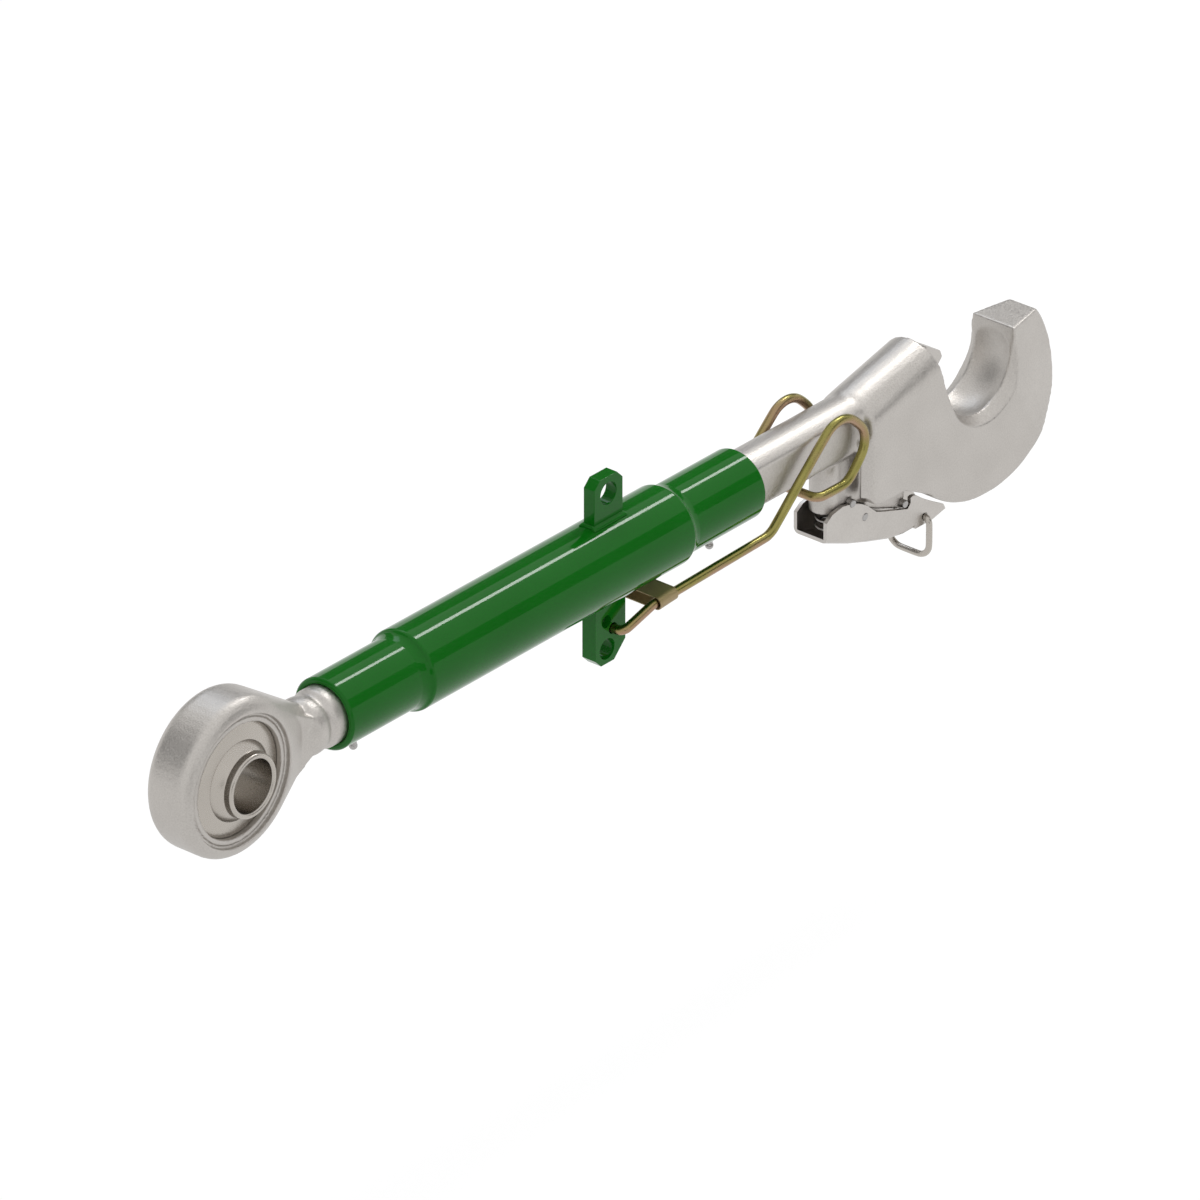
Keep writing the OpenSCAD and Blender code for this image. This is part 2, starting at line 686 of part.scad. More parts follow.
barrel_tube();
eye_sleeve();
hook_sleeve();
upper_lug();
lower_lug();
lug_welds();
eye_grease_nipple();
hook_grease_nipple();
eye_forging();
eye_race();
swivel_ball();
hook_forging();
fulcrum_pin();
lever_stop_pin();
latch_spring();
latch_lever();
pawl_pin();
latch_pawl();
pull_bail();
lock_wire();
wire_clip();
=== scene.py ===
"""Looks of an adjustable top link, built round its packed construction model.

Lengths are in metres, in the frame of that model: its origin is the centre of the eye's
bore, +X runs to the hook, +Y along the bore and +Z up.
"""

import logging
import math
from contextlib import contextmanager
from dataclasses import dataclass, field
from enum import Enum
from typing import Any, Callable, Iterator, Optional, Sequence, Union

import bpy
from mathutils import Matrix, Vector


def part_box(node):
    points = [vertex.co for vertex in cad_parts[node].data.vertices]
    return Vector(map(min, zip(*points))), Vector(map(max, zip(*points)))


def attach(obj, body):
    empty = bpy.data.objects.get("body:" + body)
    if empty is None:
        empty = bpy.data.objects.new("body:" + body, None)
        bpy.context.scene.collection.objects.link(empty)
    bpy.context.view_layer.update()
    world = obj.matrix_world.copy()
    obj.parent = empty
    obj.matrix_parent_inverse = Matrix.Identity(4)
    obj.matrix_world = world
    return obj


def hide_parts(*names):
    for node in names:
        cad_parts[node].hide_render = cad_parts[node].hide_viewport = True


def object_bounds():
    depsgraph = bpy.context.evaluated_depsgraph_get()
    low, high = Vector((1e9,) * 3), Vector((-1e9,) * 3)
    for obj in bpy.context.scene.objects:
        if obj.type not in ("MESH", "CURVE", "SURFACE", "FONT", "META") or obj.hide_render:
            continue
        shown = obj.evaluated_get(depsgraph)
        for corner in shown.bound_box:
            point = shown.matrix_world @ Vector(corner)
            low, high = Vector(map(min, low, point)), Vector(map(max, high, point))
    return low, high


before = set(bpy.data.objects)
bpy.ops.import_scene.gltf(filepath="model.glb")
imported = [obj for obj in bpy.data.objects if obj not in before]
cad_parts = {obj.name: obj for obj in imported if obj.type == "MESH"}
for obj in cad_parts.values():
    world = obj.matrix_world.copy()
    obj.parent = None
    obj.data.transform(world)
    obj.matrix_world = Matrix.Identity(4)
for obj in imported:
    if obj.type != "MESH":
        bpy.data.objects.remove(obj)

CAD_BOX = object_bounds()
MM = 0.001
MERGE_DISTANCE = 0.001 * MM
FLAT_ANGLE = math.radians(0.6)
EASED_ANGLE = math.radians(38.0)
QUAD_ANGLE = math.radians(50.0)
QUAD_SHAPE_ANGLE = math.radians(120.0)
SOFTENING = 0.5
WHITE = (1.0, 1.0, 1.0, 1.0)
MIX_FIRST = 6
MIX_SECOND = 7
MIX_RESULT = 2
LINK_MIDDLE = Vector((0.36, 0.0, 0.0))
log = logging.getLogger("top_link")

Number = Union["Signal", float]
NodeOwner = Union[bpy.types.Material, bpy.types.World]
Colour = tuple[float, float, float]


class Slot(Enum):
    """Material slots of the record."""

    ENAMEL = "green_enamel"
    FORGED = "forged_steel"
    BRIGHT = "bright_steel"
    PLATED = "plated_steel"
    YELLOW = "yellow_zinc"


class Signal:
    """A shader socket that does arithmetic like a number."""

    def __init__(self, recipe: "Recipe", socket: bpy.types.NodeSocket) -> None:
        """Wraps one output socket.

        Args:
            recipe: the node tree that new nodes go into.
            socket: the output that this signal stands for.
        """
        self.recipe = recipe
        self.socket = socket

    def _math(self, operation: str, left: Number, right: Number) -> "Signal":
        """Adds a Math node for two values and returns its result."""
        return self.recipe.node("ShaderNodeMath", {"operation": operation}, {0: left, 1: right})

    def __add__(self, other: Number) -> "Signal":
        """Sum of two values."""
        return self._math("ADD", self, other)

    def __radd__(self, other: Number) -> "Signal":
        """Sum of two values, number first."""
        return self._math("ADD", other, self)

    def __sub__(self, other: Number) -> "Signal":
        """Difference of two values."""
        return self._math("SUBTRACT", self, other)

    def __rsub__(self, other: Number) -> "Signal":
        """Difference of two values, number first."""
        return self._math("SUBTRACT", other, self)

    def __mul__(self, other: Number) -> "Signal":
        """Product of two values."""
        return self._math("MULTIPLY", self, other)

    def __rmul__(self, other: Number) -> "Signal":
        """Product of two values, number first."""
        return self._math("MULTIPLY", other, self)

    def larger(self, other: Number) -> "Signal":
        """The larger of two values."""
        return self._math("MAXIMUM", self, other)

    def sine(self) -> "Signal":
        """Sine of the value."""
        return self._math("SINE", self, 0.0)

    def sibling(self, output: str) -> "Signal":
        """Another output of the same node."""
        return Signal(self.recipe, self.socket.node.outputs[output])


class Recipe:
    """Node tree of one material or of the world."""

    def __init__(self, owner: NodeOwner) -> None:
        """Empties the owner's node tree.

        Args:
            owner: a material or a world.
        """
        owner.use_nodes = True
        self.tree = owner.node_tree
        self.tree.nodes.clear()

    def node(
        self,
        kind: str,
        settings: Optional[dict] = None,
        inputs: Optional[dict] = None,
        output: Any = 0,
    ) -> Signal:
        """Adds one node.

        Args:
            kind: the node's type.
            settings: its settings, or a colour ramp's stops under "stops".
            inputs: values or signals by socket name or number.
            output: name or number of the output that is wanted.

        Returns:
            The wanted output.
        """
        made = self.tree.nodes.new(kind)
        for key, value in (settings or {}).items():
            if key == "stops":
                self._set_stops(made.color_ramp, value)
            else:
                setattr(made, key, value)
        for key, value in (inputs or {}).items():
            if isinstance(value, Signal):
                self.tree.links.new(value.socket, made.inputs[key])
            else:
                made.inputs[key].default_value = value
        return Signal(self, made.outputs[output])

    @staticmethod
    def _set_stops(ramp: bpy.types.ColorRamp, stops: list[tuple[float, Colour]]) -> None:
        """Sets a colour ramp's stops.

        Args:
            ramp: the colour ramp.
            stops: place and colour of each stop, in rising order.
        """
        while len(ramp.elements) < len(stops):
            ramp.elements.new(1.0)
        for element, (place, colour) in zip(ramp.elements, stops):
            element.position = place
            element.color = (*colour, 1.0)

    def end(self, kind: str, shader: Signal) -> None:
        """Links a shader to the tree's output.

        Args:
            kind: the output node's type.
            shader: the finished shader.
        """
        last = self.tree.nodes.new(kind)
        self.tree.links.new(shader.socket, last.inputs["Surface"])

    def place(self) -> Signal:
        """Object coordinates of the shaded point."""
        return self.node("ShaderNodeTexCoord", output="Object")

    def noise(self, place: Signal, size: float, detail: float = 2.0) -> Signal:
        """Noise of a given grain.

        Args:
            place: the coordinates that it follows.
            size: size of one grain, in metres.
            detail: number of finer layers.

        Returns:
            The noise, from 0 to 1.
        """
        inputs = {"Vector": place, "Scale": 1.0 / size, "Detail": detail}
        return self.node("ShaderNodeTexNoise", inputs=inputs, output="Fac")

    def blend(self, share: Number, first: Any, second: Any) -> Signal:
        """Mix of two colours.

        Args:
            share: 0 gives the first colour and 1 the second.
            first: a colour or a signal.
            second: a colour or a signal.

        Returns:
            The mixed colour.
        """
        colours = [c if isinstance(c, Signal) else (*c, 1.0) for c in (first, second)]
        inputs = {0: share, MIX_FIRST: colours[0], MIX_SECOND: colours[1]}
        return self.node("ShaderNodeMix", {"data_type": "RGBA"}, inputs, output=MIX_RESULT)

    def bump(self, height: Signal, depth: float, strength: float) -> Signal:
        """Normal bent by a height.

        Args:
            height: relief, from 0 to 1.
            depth: what 1 stands for, in metres.
            strength: share of the relief that shows.

        Returns:
            The bent normal.
        """
        inputs = {"Height": height, "Distance": depth, "Strength": strength}
        return self.node("ShaderNodeBump", inputs=inputs)


@dataclass(frozen=True)
class Enamel:
    """Glossy green enamel with a faint orange peel.

    Attributes:
        deep: colour of the darker clouds.
        fresh: colour of the lighter clouds.
        peel_size: size of one dimple of the orange peel.
        peel_depth: depth of a dimple.
        peel_share: share of that depth that shows.
        cloud_size: size of one cloud.
        cloud_roughness: roughness that a cloud adds.
        roughness: least roughness.
        specular: strength of what the enamel mirrors.
    """

    deep: Colour = (0.004, 0.142, 0.006)
    fresh: Colour = (0.008, 0.174, 0.011)
    peel_size: float = 7.0 * MM
    peel_depth: float = 0.004 * MM
    peel_share: float = 0.2
    cloud_size: float = 45.0 * MM
    cloud_roughness: float = 0.04
    roughness: float = 0.05
    specular: float = 0.18

    def material(self) -> bpy.types.Material:
        """Builds the material.

        Returns:
            The material.
        """
        made = bpy.data.materials.new("green_enamel")
        recipe = Recipe(made)
        place = recipe.place()
        cloud = recipe.noise(place, self.cloud_size)
        peel = recipe.noise(place, self.peel_size)
        shader = recipe.node(
            "ShaderNodeBsdfPrincipled",
            inputs={
                "Base Color": recipe.blend(cloud, self.deep, self.fresh),
                "Roughness": self.roughness + self.cloud_roughness * cloud,
                "Specular IOR Level": self.specular,
                "Normal": recipe.bump(peel, self.peel_depth, self.peel_share),
            },
        )
        recipe.end("ShaderNodeOutputMaterial", shader)
        return made


@dataclass(frozen=True)
class BareSteel:
    """Grey zinc-plated steel with the grain that blasting or turning left.

    Attributes:
        name: the material's name.
        dark: colour of the dark flecks.
        light: colour of the light flecks.
        roughness: mean roughness.
        spread: how far a fleck changes the roughness.
        grain_size: size of one grain.
        grain_depth: depth of the grain's relief.
        cloud_size: size of one cloud, a slow change of tone.
        turned: whether turning marks show.
        ring_pitch: distance between two turning marks.
        ring_share: depth of the turning marks, as a share of the grain's.
        contrast: how sharply the flecks stand out.
        grain_detail: number of finer layers in the grain.
        cloud_share: how far a cloud changes the tone.
        fleck_share: how far a fleck changes the tone.
        relief_share: share of the relief that shows.
    """

    name: str
    dark: Colour
    light: Colour
    roughness: float
    spread: float
    grain_size: float
    grain_depth: float
    cloud_size: float = 25.0 * MM
    turned: bool = False
    ring_pitch: float = 0.5 * MM
    ring_share: float = 0.15
    contrast: float = 3.2
    grain_detail: float = 3.0
    cloud_share: float = 0.5
    fleck_share: float = 0.55
    relief_share: float = 0.6

    def material(self) -> bpy.types.Material:
        """Builds the material.

        Returns:
            The material.
        """
        made = bpy.data.materials.new(self.name)
        recipe = Recipe(made)
        place = recipe.place()
        cloud = recipe.noise(place, self.cloud_size)
        grain = recipe.noise(place, self.grain_size, self.grain_detail)
        fleck = self.contrast * (grain - 0.5)
        tone = self.cloud_share * (cloud - 0.5) + self.fleck_share * fleck + 0.5
        height = grain + self.ring_share * self._rings(recipe, place) if self.turned else grain
        shader = recipe.node(
            "ShaderNodeBsdfPrincipled",
            inputs={
                "Base Color": recipe.blend(tone, self.dark, self.light),
                "Metallic": 1.0,
                "Roughness": self.roughness + self.spread * fleck,
                "Normal": recipe.bump(height, self.grain_depth, self.relief_share),
            },
        )
        recipe.end("ShaderNodeOutputMaterial", shader)
        return made

    def _rings(self, recipe: Recipe, place: Signal) -> Signal:
        """Turning marks round the Y axis.

        Args:
            recipe: the material's node tree.
            place: the coordinates of the shaded point.

        Returns:
            The marks' height, from -1 to 1.
        """
        flat = recipe.node(
            "ShaderNodeVectorMath", {"operation": "MULTIPLY"}, {0: place, 1: (1.0, 0.0, 1.0)}
        )
        radius = recipe.node(
            "ShaderNodeVectorMath", {"operation": "LENGTH"}, {0: flat}, output="Value"
        )
        return (radius * (2.0 * math.pi / self.ring_pitch)).sine()


@dataclass(frozen=True)
class YellowZinc:
    """Yellow-passivated zinc that turns from olive to pink, with painted light that keeps faces
    that look up more olive.

    Attributes:
        name: the material's name.
        olive: darker colour of the body.
        straw: lighter colour of the body.
        pink: colour of the patches.
        roughness: least roughness.
        metallic: how metallic it looks, from 0 to 1.
        patch_size: size of one patch.
        tone_size: size of the changes between olive and straw.
        grain_size: size of one grain.
        grain_detail: number of finer layers in the grain.
        grain_depth: depth of the grain's relief.
        grain_roughness: roughness that the grain adds.
        relief_share: share of the relief that shows.
        painted_top_light: how much less pink shows on a face that looks up; this is painted light,
            standing for light that falls from above.
        pink_from: level of the patches' noise at which pink starts.
        pink_full: level at which it is full.
    """

    name: str
    olive: Colour
    straw: Colour
    pink: Colour
    roughness: float
    metallic: float = 1.0
    patch_size: float = 28.0 * MM
    tone_size: float = 9.0 * MM
    grain_size: float = 1.2 * MM
    grain_detail: float = 3.0
    grain_depth: float = 0.006 * MM
    grain_roughness: float = 0.08
    relief_share: float = 0.3
    painted_top_light: float = 0.22
    pink_from: float = 0.35
    pink_full: float = 0.6

    def material(self) -> bpy.types.Material:
        """Builds the material.

        Returns:
            The material.
        """
        made = bpy.data.materials.new(self.name)
        recipe = Recipe(made)
        place = recipe.place()
        patch = recipe.noise(place, self.patch_size)
        grain = recipe.noise(place, self.grain_size, self.grain_detail)
        # Painted light: faces that look up show less pink and more olive, a tint that stands for
        # light falling from above, not a colour of the zinc; the pink patches themselves are
        # random noise.
        facing = recipe.node("ShaderNodeTexCoord", output="Normal")
        painted_light_from_above = recipe.node("ShaderNodeSeparateXYZ", inputs={0: facing}, output="Z")
        stops = [(self.pink_from, (0.0,) * 3), (self.pink_full, (1.0,) * 3)]
        pink_patches_and_painted_light = recipe.node(
            "ShaderNodeValToRGB", {"stops": stops}, {0: patch - self.painted_top_light * painted_light_from_above}
        )
        body = recipe.blend(recipe.noise(place, self.tone_size), self.olive, self.straw)
        shader = recipe.node(
            "ShaderNodeBsdfPrincipled",
            inputs={
                "Base Color": recipe.blend(pink_patches_and_painted_light, body, self.pink),
                "Metallic": self.metallic,
                "Roughness": self.roughness + self.grain_roughness * grain,
                "Normal": recipe.bump(grain, self.grain_depth, self.relief_share),
            },
        )
        recipe.end("ShaderNodeOutputMaterial", shader)
        return made


class Palette:
    """Every finish of the link, each built once."""

    def __init__(self) -> None:
        """Builds the materials."""
        grey_dark = (0.455, 0.430, 0.402)
        grey_light = (0.610, 0.582, 0.550)
        self.enamel = Enamel().material()
        self.forged = BareSteel(
            "forged_steel", dark=grey_dark, light=grey_light, roughness=0.42, spread=0.13,
            grain_size=1.0 * MM, grain_depth=0.30 * MM,
        ).material()
        self.turned = BareSteel(
            "turned_steel", dark=(0.40, 0.37, 0.335), light=(0.52, 0.485, 0.44),
            roughness=0.27, spread=0.06, grain_size=0.6 * MM, grain_depth=0.008 * MM,
            turned=True, contrast=0.7,
        ).material()
        self.pressed = BareSteel(
            "pressed_steel", dark=grey_dark, light=grey_light, roughness=0.33, spread=0.08,
            grain_size=1.0 * MM, grain_depth=0.12 * MM, contrast=1.6,
        ).material()
        self.pins = BareSteel(
            "pin_steel", dark=(0.33, 0.32, 0.31), light=(0.46, 0.45, 0.44),
            roughness=0.28, spread=0.08, grain_size=0.5 * MM, grain_depth=0.012 * MM, contrast=1.0,
        ).material()
        self.thread = BareSteel(
            "thread_steel", dark=(0.26, 0.25, 0.235), light=(0.38, 0.365, 0.34),
            roughness=0.32, spread=0.10, grain_size=0.6 * MM, grain_depth=0.015 * MM, contrast=1.0,
        ).material()
        self.wire = YellowZinc(
            "yellow_wire", olive=(0.21, 0.20, 0.052), straw=(0.34, 0.295, 0.10),
            pink=(0.36, 0.235, 0.155), roughness=0.24,
        ).material()
        self.clip = YellowZinc(
            "yellow_clip", olive=(0.37, 0.29, 0.13), straw=(0.44, 0.35, 0.17),
            pink=(0.42, 0.32, 0.18), roughness=0.45, metallic=0.55,
        ).material()


def pick(piece: bpy.types.Object) -> None:
    """Makes one object the only selected one, and active.

    Args:
        piece: the object that the next operators act on.
    """
    bpy.ops.object.select_all(action="DESELECT")
    piece.hide_set(False)
    piece.select_set(True)
    bpy.context.view_layer.objects.active = piece


@contextmanager
def editing(piece: bpy.types.Object) -> Iterator[None]:
    """Edit mode of one object, with all of it selected.

    Args:
        piece: the object to edit.

    Yields:
        Nothing, while the object is open.
    """
    pick(piece)
    bpy.ops.object.mode_set(mode="EDIT")
    bpy.ops.mesh.select_all(action="SELECT")
    yield
    bpy.ops.object.mode_set(mode="OBJECT")


def finish_with(piece: bpy.types.Object, kind: str, **settings: Any) -> None:
    """Adds a modifier and applies it.

    Args:
        piece: the object.
        kind: the modifier's type.
        settings: the modifier's settings.
    """
    pick(piece)
    modifier = piece.modifiers.new(kind.lower(), kind)
    for key, value in settings.items():
        setattr(modifier, key, value)
    bpy.ops.object.modifier_apply(modifier=modifier.name)


def cut(piece: bpy.types.Object, point: Vector, away: Vector) -> None:
    """Cuts an object with a plane and closes the cut.

    Args:
        piece: the object.
        point: a point on the plane.
        away: the plane's normal, towards the side that goes.
    """
    with editing(piece):
        bpy.ops.mesh.bisect(
            plane_co=point, plane_no=away, use_fill=True, clear_outer=True,
            threshold=MERGE_DISTANCE,
        )


def settle(piece: bpy.types.Object) -> None:
    """Puts an object's place into its mesh.

    Args:
        piece: the object.
    """
    pick(piece)
    bpy.ops.object.transform_apply(location=True, rotation=True, scale=True)


def smooth(piece: bpy.types.Object, degrees: float = 32.0) -> None:
    """Shades an object smooth, apart from its sharp edges.

    Args:
        piece: the object.
        degrees: an edge that turns further than this stays sharp.
    """
    pick(piece)
    bpy.ops.object.shade_smooth_by_angle(angle=math.radians(degrees))


def copy_of(node: str, name: str) -> bpy.types.Object:
    """Merged copy of a construction node.

    Args:
        node: the node.
        name: the copy's name.

    Returns:
        The copy, with no material.
    """
    piece = bpy.data.objects.new(name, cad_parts[node].data.copy())
    bpy.context.scene.collection.objects.link(piece)
    piece.data.materials.clear()
    pick(piece)
    bpy.ops.mesh.customdata_custom_splitnormals_clear()
    with editing(piece):
        bpy.ops.mesh.remove_doubles(threshold=MERGE_DISTANCE)
    return piece


def eased(node: str, name: str, width: float, segments: int = 2) -> bpy.types.Object:
    """Copy of a node with its sharp edges eased.

    Args:
        node: the node.
        name: the copy's name.
        width: width of the eased edge, in metres.
        segments: steps across it.

    Returns:
        The copy.
    """
    piece = copy_of(node, name)
    with editing(piece):
        bpy.ops.mesh.dissolve_limited(angle_limit=FLAT_ANGLE)
    finish_with(
        piece, "BEVEL", width=width, segments=segments, limit_method="ANGLE",
        angle_limit=EASED_ANGLE, use_clamp_overlap=True, miter_outer="MITER_ARC",
    )
    smooth(piece)
    finish_with(piece, "WEIGHTED_NORMAL", keep_sharp=True)
    return piece


def round_wire(node: str, name: str, levels: int, swell: float) -> bpy.types.Object:
    """Copy of a faceted wire node, made round.

    Args:
        node: the node.
        name: the copy's name.
        levels: subdivision levels.
        swell: what the wire has to gain to keep its diameter, in metres.

    Returns:
        The copy.
    """
    piece = copy_of(node, name)
    with editing(piece):
        bpy.ops.mesh.tris_convert_to_quads(
            face_threshold=QUAD_ANGLE, shape_threshold=QUAD_SHAPE_ANGLE
        )
    finish_with(piece, "SUBSURF", levels=levels, render_levels=levels)
    with editing(piece):
        bpy.ops.mesh.normals_make_consistent(inside=False)
        bpy.ops.transform.shrink_fatten(value=swell)
    pick(piece)
    bpy.ops.object.shade_smooth()
    return piece


@dataclass(frozen=True)
class Thread:
    """Screw thread on a rod along X.

    Attributes:
        start: where the threaded part starts along X.
        end: where it ends.
        crest: radius of the thread's crest.
        right_hand: whether it winds to the right.
        flat: distance from the axis to each of two flats, if there are any.
        pitch: distance between two turns.
        depth: depth of the thread.
        root_share: width of the ridge's foot, as a share of the pitch.
        crest_share: width of its crest, as a share of the pitch.
        bury_share: what its height gains, so that its foot lies in the core.
        end_angle: an edge of the core that turns further than this is eased.
        crease_degrees: an edge that turns further than this stays sharp.
        sides: steps in one turn.
    """

    start: float
    end: float
    crest: float
    right_hand: bool
    flat: Optional[float] = None
    pitch: float = 4.0 * MM
    depth: float = 1.9 * MM
    root_share: float = 0.88
    crest_share: float = 0.26
    bury_share: float = 0.1
    end_angle: float = math.radians(60.0)
    crease_degrees: float = 28.0
    sides: int = 56

    def build(self, name: str) -> list[bpy.types.Object]:
        """Models the rod's core and the ridge wound round it.

        Args:
            name: start of the two pieces' names.

        Returns:
            The core and the ridge.
        """
        pieces = [self._core(f"{name}_core"), self._ridge(f"{name}_thread")]
        if self.flat is not None:
            for piece in pieces:
                for side in (-1.0, 1.0):
                    cut(piece, Vector((0.0, side * self.flat, 0.0)), Vector((0.0, side, 0.0)))
        for piece in pieces:
            smooth(piece, self.crease_degrees)
        return pieces

    def _core(self, name: str) -> bpy.types.Object:
        """Core of the rod, up to the thread's root.

        Args:
            name: the piece's name.

        Returns:
            The core.
        """
        radius = self.crest - self.depth
        bpy.ops.mesh.primitive_cylinder_add(
            vertices=self.sides, radius=radius, depth=self.end - self.start,
            location=((self.start + self.end) / 2, 0.0, 0.0), rotation=(0.0, math.pi / 2, 0.0),
        )
        core = bpy.context.object
        core.name = name
        settle(core)
        finish_with(
            core, "BEVEL", width=self.depth / 2, segments=2, limit_method="ANGLE",
            angle_limit=self.end_angle,
        )
        return core

    def _ridge(self, name: str) -> bpy.types.Object:
        """Ridge with a sloping tooth, wound once for each pitch.

        Args:
            name: the piece's name.

        Returns:
            The ridge.
        """
        turns = int((self.end - self.start) / self.pitch) - 1
        middle = self.crest - self.depth / 2
        first = self.start + self.pitch / 2
        bpy.ops.mesh.primitive_plane_add(
            size=1.0, location=(first, 0.0, middle), rotation=(math.pi / 2, 0.0, 0.0)
        )
        ridge = bpy.context.object
        ridge.name = name
        ridge.scale = (self.pitch * self.root_share, self.depth * (1.0 + self.bury_share), 1.0)
        settle(ridge)
        for vertex in ridge.data.vertices:
            vertex.select = vertex.co.z > middle
        pick(ridge)
        bpy.ops.object.mode_set(mode="EDIT")
        bpy.ops.mesh.select_mode(type="VERT")
        bpy.ops.transform.resize(
            value=(self.crest_share / self.root_share, 1.0, 1.0),
            center_override=(first, 0.0, middle),
        )
        bpy.ops.mesh.select_all(action="SELECT")
        bpy.ops.mesh.delete(type="ONLY_FACE")
        bpy.ops.object.mode_set(mode="OBJECT")
        finish_with(
            ridge, "SCREW", axis="X", angle=math.tau * (1 if self.right_hand else -1),
            screw_offset=self.pitch, iterations=turns, steps=self.sides, render_steps=self.sides,
        )
        with editing(ridge):
            bpy.ops.mesh.remove_doubles(threshold=MERGE_DISTANCE / 10.0)
            bpy.ops.mesh.fill_holes(sides=4)
            bpy.ops.mesh.normals_make_consistent(inside=False)
        return ridge


def select_where(piece: bpy.types.Object, wanted: Callable[[Vector], bool]) -> None:
    """Selects an object's vertices by their place, and opens it in edit mode.

    Args:
        piece: the object.
        wanted: says whether a vertex at a place is wanted.
    """
    pick(piece)
    bpy.ops.object.mode_set(mode="EDIT")
    bpy.ops.mesh.select_mode(type="VERT")
    bpy.ops.mesh.select_all(action="DESELECT")
    bpy.ops.object.mode_set(mode="OBJECT")
    for vertex in piece.data.vertices:
        vertex.select = wanted(vertex.co)
    bpy.ops.object.mode_set(mode="EDIT")


@dataclass(frozen=True)
class FaceRing:
    """Ring turned on the eye's two faces, between its rim and its bearing.

    Attributes:
        inner: inner radius.
        outer: outer radius.
        low: distance from the eye's middle plane to the ring's foot.
        high: distance from that plane to its face.
        steps: steps round the ring.
    """

    inner: float
    outer: float
    low: float
    high: float
    steps: int = 96

    def build(self, name: str, side: int) -> bpy.types.Object:
        """Models the ring.

        Args:
            name: the piece's name.
            side: -1 for the near face and 1 for the far one.

        Returns:
            The ring.
        """
        middle = ((self.inner + self.outer) / 2, side * (self.low + self.high) / 2, 0.0)
        bpy.ops.mesh.primitive_plane_add(size=1.0, location=middle)
        ring = bpy.context.object
        ring.name = name
        ring.scale = (self.outer - self.inner, self.high - self.low, 1.0)
        settle(ring)
        with editing(ring):
            bpy.ops.mesh.delete(type="ONLY_FACE")
        finish_with(
            ring, "SCREW", axis="Y", angle=math.tau, screw_offset=0.0, iterations=1,
            steps=self.steps, render_steps=self.steps, use_merge_vertices=True,
        )
        with editing(ring):
            bpy.ops.mesh.remove_doubles(threshold=MERGE_DISTANCE)
            bpy.ops.mesh.normals_make_consistent(inside=False)
        return ring


@dataclass(frozen=True)
class NeckWeb:
    """Flat web that leads the eye's faces on to its collar.

    Attributes:
        start: where it starts along X, in the eye.
        end: where it ends, at the collar.
        half_width: half of its width along Y.
        start_half_height: half of its height where it starts.
        end_half_height: half of its height where it ends.
        corner: radius of the two corners at the collar.
        corner_steps: steps in one corner.
    """

    start: float
    end: float
    half_width: float
    start_half_height: float
    end_half_height: float
    corner: float
    corner_steps: int = 5

    def build(self, name: str) -> bpy.types.Object:
        """Models the web.

        Args:
            name: the piece's name.

        Returns:
            The web.
        """
        middle = (self.start + self.end) / 2
        bpy.ops.mesh.primitive_cube_add(size=1.0, location=(middle, 0.0, 0.0))
        web = bpy.context.object
        web.name = name
        web.scale = (self.end - self.start, 2 * self.half_width, 2 * self.start_half_height)
        settle(web)
        select_where(web, lambda co: co.x > middle)
        bpy.ops.transform.resize(
            value=(1.0, 1.0, self.end_half_height / self.start_half_height),
            center_override=(self.end, 0.0, 0.0),
        )
        self._round_corners(web, middle)
        return web

    def _round_corners(self, web: bpy.types.Object, middle: float) -> None:
        """Rounds the two corners that meet the collar.

        Args:
            web: the web, open in edit mode; it is left in object mode.
            middle: place of the web's middle along X.
        """
        bpy.ops.mesh.select_mode(type="EDGE")
        bpy.ops.mesh.select_all(action="DESELECT")
        bpy.ops.object.mode_set(mode="OBJECT")
        for edge in web.data.edges:
            first, second = (web.data.vertices[index].co for index in edge.vertices)
            level = abs(first.z - second.z) < MERGE_DISTANCE
            edge.select = level and min(first.x, second.x) > middle
        bpy.ops.object.mode_set(mode="EDIT")
        bpy.ops.mesh.bevel(offset=self.corner, segments=self.corner_steps, affect="EDGES")
        bpy.ops.object.mode_set(mode="OBJECT")


@dataclass(frozen=True)
class ShoulderRamp:
    """Slope that leads from the hook's neck out to its side face.

    Attributes:
        start: where it starts along X, at the neck.
        end: where it ends, at the side face.
        inner: distance from the middle plane to the neck's side.
        outer: distance from that plane to the side face.
        bottom: height of its lower end.
        top: height of its upper end.
    """

    start: float
    end: float
    inner: float
    outer: float
    bottom: float
    top: float

    def build(self, name: str, side: int) -> bpy.types.Object:
        """Models the slope.

        Args:
            name: the piece's name.
            side: -1 for the near side and 1 for the far one.

        Returns:
            The slope.
        """
        middle = (
            (self.start + self.end) / 2,
            side * (self.inner + self.outer) / 2,
            (self.bottom + self.top) / 2,
        )
        bpy.ops.mesh.primitive_cube_add(size=1.0, location=middle)
        ramp = bpy.context.object
        ramp.name = name
        ramp.scale = (self.end - self.start, self.outer - self.inner, self.top - self.bottom)
        settle(ramp)
        select_where(ramp, lambda co: co.x < middle[0] and side * co.y > side * middle[1])
        bpy.ops.transform.translate(value=(0.0, side * (self.inner - self.outer), 0.0))
        bpy.ops.mesh.select_all(action="SELECT")
        bpy.ops.mesh.remove_doubles(threshold=MERGE_DISTANCE)
        bpy.ops.mesh.normals_make_consistent(inside=False)
        bpy.ops.object.mode_set(mode="OBJECT")
        return ramp


